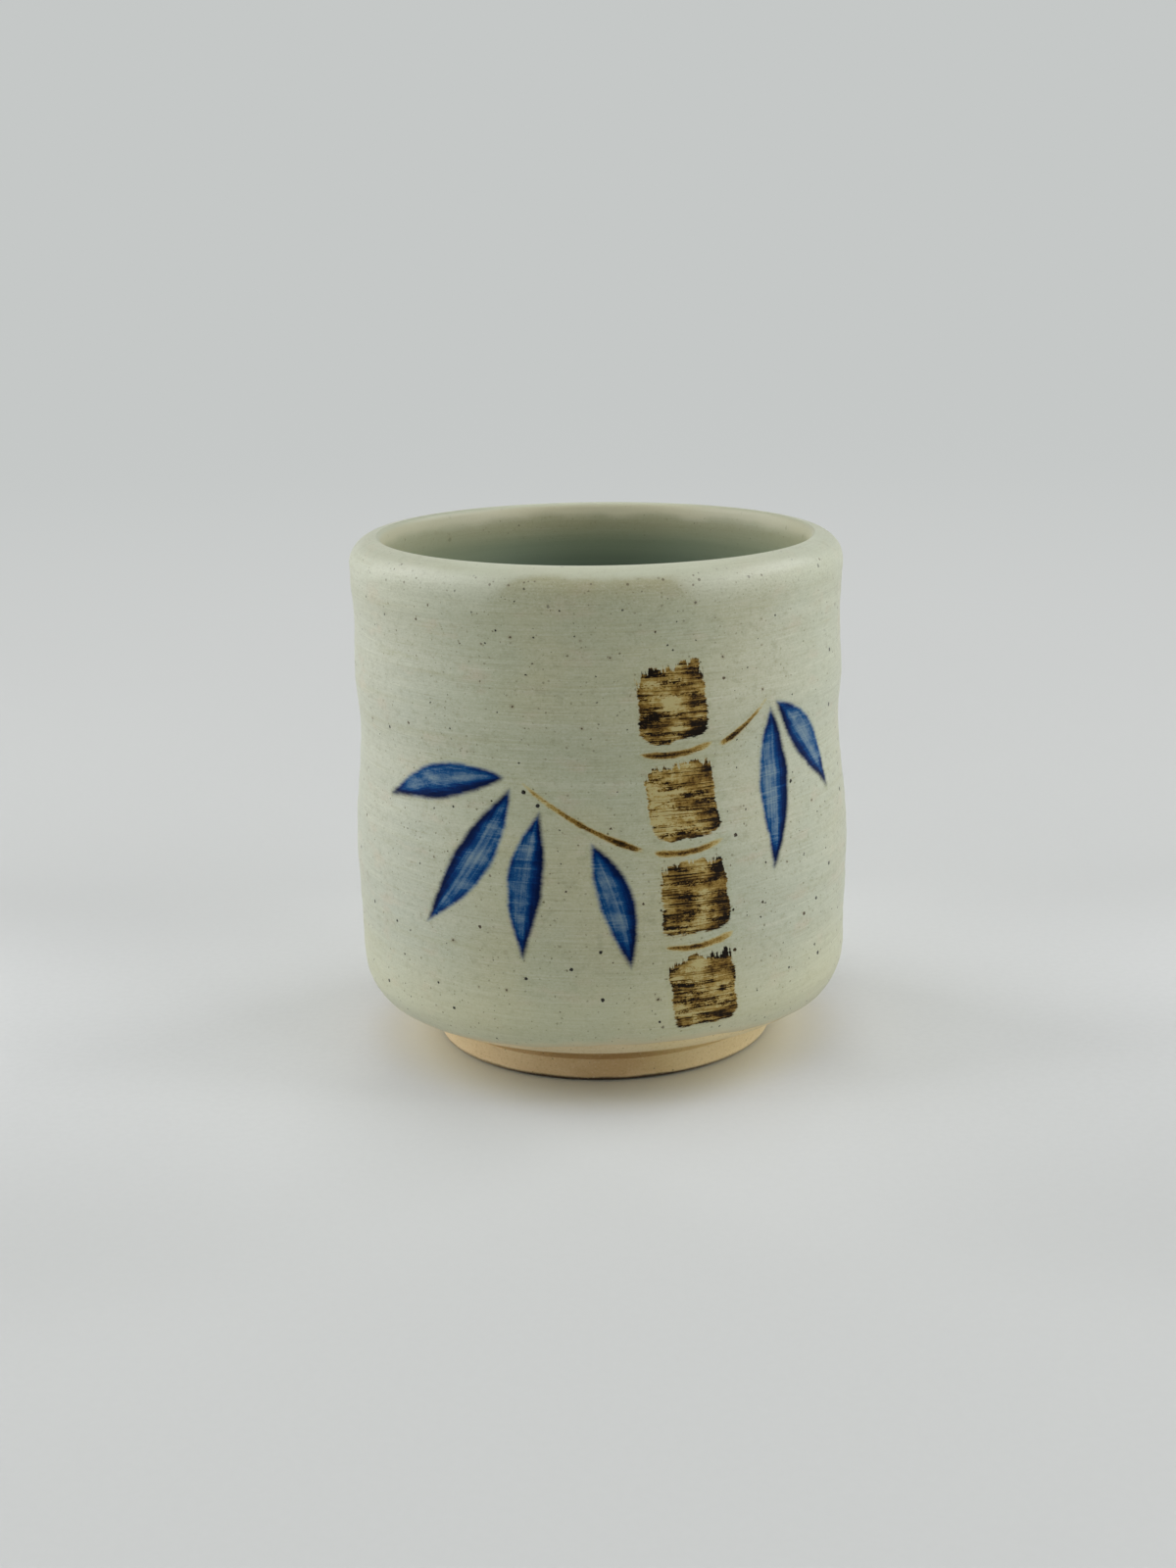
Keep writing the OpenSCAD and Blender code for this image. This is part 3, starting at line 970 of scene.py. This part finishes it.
# A range says what is read, where the change starts and where it is whole, then the share at each of these
# if they are not 0 and 1. The share of a tone is the product of its ranges, and tones are laid in order.
GLAZE_CLOUDED = ("cloud", 0.38, 0.64)
GLAZE_TONES = [
    # The pale grey laid to the left and right of the cup is painted sheen on its sides.
    (GLAZE_SIDE_SHEEN, ("across", -12, -36, 0, 0.66)),
    (GLAZE_SIDE_SHEEN, ("across", 8, 30, 0, 0.4)),
    (GLAZE_PALE, ("lines", 0.55, 0.78, 0, 0.3)),
    (GLAZE_PALE, ("rings", 0.56, 0.72, 0, 0.24)),
    (GLAZE_OLIVE, ("rings", 0.46, 0.3, 0, 0.2)),
    (GLAZE_OLIVE, ("lines", 0.44, 0.26, 0, 0.26)),
    (GLAZE_BLUSH, ("blush", 0.54, 0.74, 0, 0.4)),
    (GLAZE_PALE, ("wheel", 0.54, 0.74, 0, 0.46)),
    (GLAZE_SPOT, ("wheel", 0.46, 0.26, 0, 0.34)),
    (GLAZE_SPOT, ("felt", 0.5, 0.22, 0, 0.52)),
    (GLAZE_PALE, ("felt", 0.52, 0.8, 0, 0.52)),
    (GLAZE_SPOT, ("mottle", 0.5, 0.25, 0, 0.34)),
    (GLAZE_PALE, ("mottle", 0.54, 0.76, 0, 0.24)),
    (GLAZE_THIN, ("height", 28, 12, 0, 0.34)),
    (GLAZE_OLIVE, ("olive", 0.3, 0.6), ("height", 68, 80), ("height", 84, 81.5, 0, 0.12)),
]

# Iron specks: cell, shift and greatest radius in millimetres, share of the cells that hold one, how soft its
# edge is, its greatest share and its tone. The last kind is near black or rust, speck by speck.
SPECKS = [
    (0.8, 2, 0.2, 0.8, 0.05, 0.5, SPECK_OLIVE),
    (1.1, 0, 0.18, 0.8, 0.04, 0.85, SPECK_OLIVE),
    (2.1, 11, 0.42, 0.25, 0.2, 0.25, HALO),
    (2.1, 11, 0.26, 0.4, 0.03, 0.95, SPECK_RUST),
    (1.5, 37, 0.2, 0.6, 0.03, 1.0, SPECK),
    (2.3, 23, 0.4, 0.8, 0.03, 1.0, None),
]
SPECK_EDGE = 0.05
SPECK_POWER = 2.0
SPECK_RUSTED = (0.6, 0.9)
JOSTLE = 0.34

# Roughness of the glaze, and how much each pattern adds to it and to its height
GLAZE_ROUGH = 0.34
FELT_ROUGH = 0.14
LINES_HEIGHT = 0.55
FELT_HEIGHT = 0.2
CLOUD_HEIGHT = 1.2
GLAZE_RELIEF = 0.05


def specks(look):
    """Iron specks of several kinds, none of them quite round."""
    inputs = {0: look.pattern("jostle")["Color"], 1: (JOSTLE, JOSTLE, JOSTLE), 2: look.place}
    jostled = look.add("ShaderNodeVectorMath", inputs, operation="MULTIPLY_ADD").outputs[0]
    for cell, shift, radius, share, soft, most, tone in SPECKS:
        depth, tint = look.dots(jostled, cell, shift, radius, SPECK_POWER)
        held = look.span(look.part(tint, 1), share, share - SPECK_EDGE)
        if tone is None:
            tone = look.mix(look.span(look.part(tint, 2), *SPECK_RUSTED), SPECK, SPECK_RUST)
        look.tint(look.product(look.span(depth, -soft, SPECK_EDGE, 0.0, most), held), tone)


def glaze_layers(look):
    """The pale glaze, the same wherever it lies: lays its colour, and gives its roughness and height."""
    look.colour = look.mix(look.share(GLAZE_CLOUDED), GLAZE_COOL, GLAZE_WARM)
    look.lay(GLAZE_TONES)
    specks(look)
    felt = look.value("felt")
    rough = look.total(look.product(felt, FELT_ROUGH), GLAZE_ROUGH)
    relief = look.total(
        look.product(look.value("lines"), LINES_HEIGHT),
        look.product(felt, FELT_HEIGHT),
        look.product(look.value("cloud"), CLOUD_HEIGHT),
    )
    return rough, relief


def fired(look, rough, relief, index=1.4, coat=0.06):
    """The clear, satin surface of a fired glaze over its own colour."""
    look.set(Base_Color=look.colour, Roughness=rough, Normal=look.bump(relief, GLAZE_RELIEF))
    look.set(IOR=index, Coat_Weight=coat, Coat_Roughness=0.24, Coat_IOR=1.5)
    return look.material


# Outside, under a crest that drifts: a band of painted shade, olive, under the lip in the middle, and a pale
# lip, thin glaze with a painted highlight, that starts higher there
SHADE_MIDDLE = -1.0
LIP_DRIFT = ("lip_drift", 0.2, 0.35)
LIP_PAINTED_SHADE = [
    (GLAZE_PAINTED_SHADE, ("crest", 79.5, 82.6), ("crest", 84, 83.1), ("lip_shade", 0.38, 0.6, 0.14, 0.44),
     ("aside", 19, 11)),
]
# The pale lip is thin glaze at the rim with a painted highlight laid over it; it reaches lower away from the
# middle and is fainter at the far sides.
LIP_STARTS = ("aside", 10.5, 17.5, 82.9, 76.0)
LIP_WHOLE = 84.0
LIP_MOST = [("across", -27, -16, 0.5, 1.0), ("across", 24, 14, 0.45, 0.7)]

# Fine dust and rust freckles near the lip, and the ragged lower edge of the glaze. Freckles have a cell, a
# shift, a greatest radius, and a power that says how many of them are small.
FRECKLES = (0.75, 51, 0.26, 1.0)
RAGGED = ("ragged", 0.3, 0.45)
DUSTY = [("height", 77, 80, 0, 0.34), ("height", 84, 82.4, 0.3, 1)]
OUTER_TONES = [
    (GLAZE_SPOT, *DUSTY, ("dust", 0.5, 0.27)),
    (GLAZE_PALE, *DUSTY, ("dust", 0.5, 0.72)),
    (SPECK_RUST, ("freckle", -0.04, 0.06), ("held", 0.34, 0.28), ("crest", 79, 82),
     ("crest", 83.8, 83.1, 0, 0.6)),
    (BUFF, ("above_edge", 2.5, 0.3, 0, 0.85)),
    (TOAST, ("above_edge", 0.35, 0, 0, 0.3)),
]
EDGE_ROUGH = ("above_edge", 1.5, 0.2, 0, 0.2)


def outer_glaze_finish():
    """Pale glaze, with painted shade and freckles under the lip and a painted highlight on its pale lip,
    that thins to buff with a toasted line at its edge.
    """
    look = Finish("outer_glaze")
    rough, relief = glaze_layers(look)
    values = look.values
    values["aside"] = look.away(values["across"], SHADE_MIDDLE)
    look.drift("crest", values["height"], *LIP_DRIFT)
    look.lay(LIP_PAINTED_SHADE)
    lip = look.span(values["crest"], look.share(LIP_STARTS), LIP_WHOLE, 0.0, look.share(*LIP_MOST))
    look.tint(lip, GLAZE_LIP_AND_HIGHLIGHT)
    values["freckle"], tint = look.dots(look.place, *FRECKLES)
    values["held"] = look.part(tint, 1)
    look.drift("above_edge", look.stored("above_edge"), *RAGGED)
    look.lay(OUTER_TONES)
    return fired(look, look.total(rough, look.share(EDGE_ROUGH)), relief)


# The liner from the lip down: cream at the lip, with a painted highlight on the inner lip and a pale line of
# painted highlight at the crest, then a band of painted shade under the rim, olive to deep green and duller
# and darker at the sides, and a paler tone lower in the cup
LINER_DRIFT = ("liner_drift", 0.2, 0.5)
LINER_TONES = [
    (LIP_CREAM_AND_HIGHLIGHT, ("crest", 81.4, 83.4, 0, 0.8)),
    (GLAZE_LIP_AND_HIGHLIGHT, ("height", 84.1, 84.8, 0, 0.85)),
    (LINER_OLIVE_SHADE, ("crest", 83.4, 81.4, 0, 0.6)),
    (LINER_SAGE_SHADE, ("height", 81.6, 77.2, 0, 0.9)),
    (LINER_DEEP_SHADE, ("height", 78.5, 72, 0, 0.9)),
    (LINER_FLOOR, ("height", 74, 52, 0, 0.85)),
    (LINER_SIDE_SHADE, ("aside", 12, 27), ("height", 66, 76, 0, 0.4)),
]


def liner_finish():
    """The same glaze, cream at the lip with a painted highlight, then a band of painted shade below the rim,
    and paler again lower in the cup.
    """
    look = Finish("liner_glaze")
    rough, relief = glaze_layers(look)
    look.values["aside"] = look.away(look.values["across"])
    look.drift("crest", look.values["height"], *LINER_DRIFT)
    look.lay(LINER_TONES)
    return fired(look, rough, relief)


# Bare clay: hazy above the groove, painted shade in the groove, golden to the right, painted light on its
# sides, and a painted contact shadow along its outer edge where it stands
CLAY_CLOUDED = ("clay_cloud", 0.36, 0.66)
CONTACT_SHADOW_DRIFT = ("contact_shadow_drift", 0.2, 0.12)
CLAY_TONES = [
    (CLAY_WARM, ("clay_lines", 0.5, 0.75, 0, 0.4)),
    (CLAY_HAZE, ("height", 5.3, 6.8, 0, 0.65)),
    # Painted shade in the groove under the overhang of the body, strongest in the middle.
    (CLAY_GROOVE_SHADE, ("height", 3.8, 4.3), ("height", 6, 5.2), ("aside", 22, 8, 0.15, 0.5)),
    (CLAY_GOLD, ("across", 2, 12, 0, 0.6)),
    # Painted light on the sides of the foot, to either side of the middle and fading at the far ends.
    (CLAY_SIDE_LIGHT, ("aside", 6, 17), ("aside", 31, 25, 0, 0.32)),
    (CLAY_HAZE, ("aside", 19, 27, 0, 0.25)),
    (CLAY_DARK, ("height", 0.3, 0.05, 0, 0.35)),
    (CLAY_CONTACT_SHADOW, ("level", 0.95, 0.5, 0, 0.95), ("from_axis", 26.7, 27.5), ("aside", 25, 10, 0.4, 1)),
    (CLAY_DARK, ("clay_grit", 0.52, 0.76, 0, 0.5)),
    (CLAY_LIGHT, ("clay_grit", 0.46, 0.24, 0, 0.4)),
    (CLAY_GRAIN, ("grain_depth", -0.05, 0.04, 0, 0.55)),
]

# Grains as for freckles, then roughness, and how much each pattern adds to it and to the height
CLAY_GRAINS = (1.6, 0, 0.22, 1.0)
CLAY_ROUGH = 0.68
GRIT_ROUGH = 0.2
CLAY_LINES_HEIGHT = 0.8
CLAY_RELIEF = 0.09


def clay_finish():
    """Bare buff stoneware with fine grain and turning lines, painted shade in its groove, painted light at
    its sides, darker on the face it stands on, and a painted contact shadow along its outer edge.
    """
    look = Finish("bare_clay")
    values = look.values
    values["aside"] = look.away(values["across"])
    values["from_axis"] = look.length(look.scaled(look.place, (1, 1, 0)))
    look.drift("level", values["height"], *CONTACT_SHADOW_DRIFT)
    values["grain_depth"], _ = look.dots(look.place, *CLAY_GRAINS)
    look.colour = look.mix(look.share(CLAY_CLOUDED), CLAY_PALE, CLAY_WARM)
    look.lay(CLAY_TONES)
    grit = look.value("clay_grit")
    relief = look.total(look.product(look.value("clay_lines"), CLAY_LINES_HEIGHT), grit)
    rough = look.total(look.product(grit, GRIT_ROUGH), CLAY_ROUGH)
    look.set(Base_Color=look.colour, Roughness=rough, IOR=1.45, Normal=look.bump(relief, CLAY_RELIEF))
    return look.material


# How each brush leaves its pigment: refraction, soft and frayed width of its edge, width of its streaks,
# then how much the load changes by hairs, pools, lines that catch it, lines that shed it, and grit
IRON_BRUSH = (1.16, 0.12, 0.26, 0.7, 0.06, 0.4, 0.6, 0.3, 0.14)
IRON_LINE = (1.16, 0.16, 0.1, 0.4, 0.1, 0.2, 0.1, 0.1, 0.2)
COBALT_BRUSH = (1.12, 0.5, 0.12, 0.5, 0.12, 0.14, 0.04, 0.14, 0.06)

# Length and width of the marks of lifting bristles and of hairs, in millimetres, then detail and roughness
BRISTLES = (9, 1.1, 4, 0.7)
HAIR_LEN = 18
HAIR_NOISE = (3, 0.6)

# Shares of a pattern, from where its change starts to where it is whole
BRISTLES_LIFT = (0.4, 0.7)
FRAY_REACH = 0.3
POOL_REACH = 0.2
GRAIN_REACH = 0.25
PATCH_GRAIN = 0.06
SCORED = (0.52, 0.66)
PATCHED = (0.52, 0.62)
SCRATCHED = (0.44, 0.34)

# The load thins along the edge of a stroke, more where the edge is soft
RIM_W = 0.12
RIM_THIN = 0.26
RIM_THIN_SOFT = 0.7
PIGMENT_SMOOTH = 0.03
PIGMENT_COAT = 0.02


def stroke_noise(look, along, across, detail, rough):
    """Noise that runs with the brush, in cells so many millimetres long and wide."""
    inputs = {
        "X": look.math("DIVIDE", look.stored("along"), along),
        "Y": look.math("DIVIDE", look.stored("across"), across),
    }
    return look.noise(look.add("ShaderNodeCombineXYZ", inputs).outputs[0], detail, rough)["Fac"]


def pigment_finish(name, stops, index, soft, frayed, streaks, hairs, pools, scored, scratched, grit):
    """Pigment fired into the glaze, with pools, brushed hairs, wheel lines and a soft edge."""
    look = Finish(name)
    rough, relief = glaze_layers(look)
    lifted = look.span(stroke_noise(look, *BRISTLES), *BRISTLES_LIFT)
    edge = look.total(
        look.stored("edge"),
        look.swing(look.value("fray"), FRAY_REACH, frayed),
        look.swing(look.value("waver"), POOL_REACH, frayed),
    )
    edge = look.math("SUBTRACT", edge, look.product(look.stored("lift"), lifted))
    caught = look.value("caught")
    grain = look.value("grain")
    load = look.total(
        look.stored("load"),
        look.swing(look.value("pool"), POOL_REACH, pools),
        look.swing(stroke_noise(look, HAIR_LEN, streaks, *HAIR_NOISE), GRAIN_REACH, hairs),
        look.span(caught, *SCORED, 0.0, scored),
        look.span(
            look.total(look.value("patch"), look.swing(grain, GRAIN_REACH, PATCH_GRAIN)),
            *PATCHED, 0.0, scored
        ),
        look.span(caught, *SCRATCHED, 0.0, -scratched),
        look.swing(grain, GRAIN_REACH, grit),
        look.span(edge, soft + RIM_W, -soft, 0.0, -RIM_THIN - RIM_THIN_SOFT * soft),
    )
    cover = look.span(edge, -soft, soft)
    look.tint(cover, look.ramp(load, stops))
    rough = look.math("SUBTRACT", rough, look.product(cover, PIGMENT_SMOOTH))
    return fired(look, rough, relief, index, PIGMENT_COAT)


# Tones of the floor's card. Near the cup some are painted light: lighter card where the cup's shadows fall,
# and a warm painted bounce of light from the foot.
CARD = srgb(198, 200, 199)
CARD_LIT = srgb(218, 220, 220)
CARD_SHADOW_FILL = srgb(226, 228, 228)
CARD_PAINTED_BOUNCE = srgb(207, 205, 185)
CARD_FIBRE = srgb(180, 182, 180)
CARD_NEAR = srgb(205, 207, 206)
BACKDROP = srgb(197, 200, 199)

# Distances on the card that its ranges read: each from a middle, across or in depth
CARD_MIDDLES = [
    ("side", "across", 0),
    ("from_lit", "depth", -35),
    ("from_beside", "across", 2),
    ("from_before", "across", -8),
    ("from_open", "depth", -5),
]
# Painted light near the cup: the card is lighter beside it, for the light it throws back on the cup and, as
# the camera sees it, where the cup's shadows fall; the warm tone by the foot is painted bounce light.
LIT = [("side", 8, 50), ("side", 260, 110), ("from_lit", 90, 10, 0, 0.8)]
BESIDE_CUP = [("from_beside", 24.5, 46), ("depth", -34, -14)]
BEFORE_CUP = [("from_before", 4, 46), ("depth", -14, -34)]
ROUND_CUP = [("side", 260, 110), ("from_open", 90, 4)]
BOUNCE_BY_CUP = ("reach", 43, 30, 0, 0.75)
FIBRES = ("fibre", 0.3, 0.7, 0, 0.05)
TO_BACKDROP = ("reach", 150, 1000)
GLOWING = ("reach", 170, 420)


def sweep_finish():
    """Pale card with the faintest grain, and painted light near the cup: lighter where the cup's shadows
    fall and warm by its foot. Away from the cup it looks evenly lit, however far it runs.
    """
    look = Finish("pale_card")
    for name, read, middle in CARD_MIDDLES:
        look.values[name] = look.away(look.values[read], middle)
    look.values["reach"] = look.length(look.place)
    by_cup = look.total(look.share(*BESIDE_CUP), look.share(*BEFORE_CUP))
    by_cup = look.product(by_cup, look.share(*ROUND_CUP))
    seen_card = look.mix(by_cup, CARD, CARD_SHADOW_FILL)
    seen_card = look.mix(look.share(BOUNCE_BY_CUP), seen_card, CARD_PAINTED_BOUNCE)
    seen = look.add("ShaderNodeLightPath").outputs["Is Camera Ray"]
    look.colour = look.mix(seen, look.mix(look.share(*LIT), CARD, CARD_LIT), seen_card)
    look.lay([(CARD_FIBRE, FIBRES)])
    look.set(Base_Color=look.colour, Roughness=0.75, IOR=1.4)
    even = look.mix(look.share(TO_BACKDROP), CARD_NEAR, BACKDROP)
    glow = look.add("ShaderNodeEmission", {"Color": even}).outputs[0]
    inputs = {0: look.product(seen, look.share(GLOWING)), 1: look.shader.outputs[0], 2: glow}
    both = look.add("ShaderNodeMixShader", inputs).outputs[0]
    look.feed(look.tree.nodes["Material Output"].inputs["Surface"], both)
    return look.material


def sweep():
    """Floor and backdrop in one sheet, in metres: a flat floor, a bend and an upright back."""
    half_width, front, bend, radius, top, steps = 4.0, -3.0, 0.75, 0.7, 3.0, 40
    a = np.radians(np.linspace(0, 90, steps))
    curve = np.column_stack([bend + radius * np.sin(a), radius * (1 - np.cos(a))])
    line = np.vstack([[(front, 0)], curve, [(bend + radius, top)]])
    points = [(x, y, z) for x in (-half_width, half_width) for y, z in line]
    count = len(line)
    faces = [(i, i + count, i + count + 1, i + 1) for i in range(count - 1)]
    mesh = bpy.data.meshes.new("sweep")
    mesh.from_pydata(points, [], faces)
    mesh.shade_smooth()
    sheet = new_object("sweep", mesh)
    sheet.data.materials.append(sweep_finish())


# A light tent that is open towards the camera, in metres: over the cup, then pairs of panels to its left and
# right. A row has name, place, target, width and height, and a radiance for each panel.
TOP_PANEL = ("top_panel", (0, -0.25, 1.3), (0, -0.25, 0), 0.9, 0.6, 0.5)
PAIRS = [
    ("high", (1.05, 0.2, 0.95), (0, 0.1, 0.05), 1.3, 0.6, 4.4, 4.6),
    ("side", (1.05, 0.2, 0.33), (0, 0.1, 0.05), 1.3, 0.6, 2.2, 0.9),
    ("front", (1.0, -0.55, 0.5), (0, 0, 0.05), 0.8, 1.0, 0.9, 2.0),
]
ROOM_LIGHT = (0.08, 0.081, 0.08, 1)


def lamp(name, place, target, wide, high, radiance):
    """A soft panel of light that glows evenly."""
    light = bpy.data.lights.new(name, "AREA")
    light.shape = "RECTANGLE"
    light.size = wide
    light.size_y = high
    light.energy = radiance * np.pi * wide * high
    panel = new_object(name, light)
    panel.location = place
    panel.rotation_euler = (Vector(target) - Vector(place)).to_track_quat("-Z", "Y").to_euler()
    panel.visible_camera = False


def studio():
    """The lamps, and faint light from all round. The camera sees the backdrop's tone in its place."""
    lamp(*TOP_PANEL)
    for name, (across, depth, up), target, wide, high, left, right in PAIRS:
        lamp(f"left_{name}", (-across, depth, up), target, wide, high, left)
        lamp(f"right_{name}", (across, depth, up), target, wide, high, right)
    world = bpy.data.worlds.new("room")
    world.use_nodes = True
    nodes = world.node_tree.nodes
    links = world.node_tree.links
    seen = nodes.new("ShaderNodeMix")
    seen.data_type = "RGBA"
    seen.inputs[6].default_value = ROOM_LIGHT
    seen.inputs[7].default_value = BACKDROP
    links.new(nodes.new("ShaderNodeLightPath").outputs["Is Camera Ray"], seen.inputs[0])
    links.new(seen.outputs[2], nodes["Background"].inputs["Color"])
    bpy.context.scene.world = world


# The camera, fitted to the photograph: metres, radians, and millimetres of lens and sensor
EYE = (0, -0.35377, 0.13562)
EYE_PITCH = -0.2586
EYE_YAW = -0.0061
EYE_ROLL = -0.0192
EYE_LENS = 49.905
EYE_SENSOR = 36


def camera():
    """The photograph's viewing angle."""
    ahead = Vector((
        np.sin(EYE_YAW) * np.cos(EYE_PITCH),
        np.cos(EYE_YAW) * np.cos(EYE_PITCH),
        np.sin(EYE_PITCH),
    ))
    right = ahead.cross(Vector((0, 0, 1))).normalized()
    up = right.cross(ahead)
    turned_right = right * np.cos(EYE_ROLL) + up * np.sin(EYE_ROLL)
    turned_up = up * np.cos(EYE_ROLL) - right * np.sin(EYE_ROLL)
    turned = Matrix((turned_right, turned_up, -ahead)).transposed().to_4x4()
    data = bpy.data.cameras.new("camera")
    data.lens = EYE_LENS
    data.sensor_width = EYE_SENSOR
    eye = new_object("camera", data)
    eye.matrix_world = Matrix.Translation(EYE) @ turned
    bpy.context.scene.camera = eye


def dress(piece, node, material):
    """Gives a piece its finish and lets it stand for a node of the frame."""
    piece.data.materials.append(material)
    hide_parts(node)
    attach(piece, "root")


dress(clay_body(), "stoneware_body", clay_finish())
dress(outer_coat(), "outer_glaze", outer_glaze_finish())
dress(inner_coat(), "inner_glaze", liner_finish())

iron = pigment_finish("iron_pigment", IRON_STOPS, *IRON_BRUSH)
iron_line = pigment_finish("iron_line", IRON_STOPS, *IRON_LINE)
cobalt = pigment_finish("cobalt_pigment", COBALT_STOPS, *COBALT_BRUSH)

# Each kind of stroke has its own run of seeds, which shift the streaks of the brush
for strokes, load, node, slot, material, first_seed in (
    (culm_strokes(), culm_load, "iron_culm", "iron", iron, 0),
    (joint_strokes(), line_load, "iron_culm", "iron", iron_line, 10),
    (twig_strokes(), line_load, "iron_twigs", "iron", iron_line, 20),
    (leaf_strokes(), leaf_load, "cobalt_leaves", "cobalt", cobalt, 30),
):
    for seed, stroke in enumerate(strokes, first_seed):
        dress(stroke.build(load, seed), node, material)

sweep()
studio()
camera()
bpy.context.scene.view_settings.view_transform = "Standard"
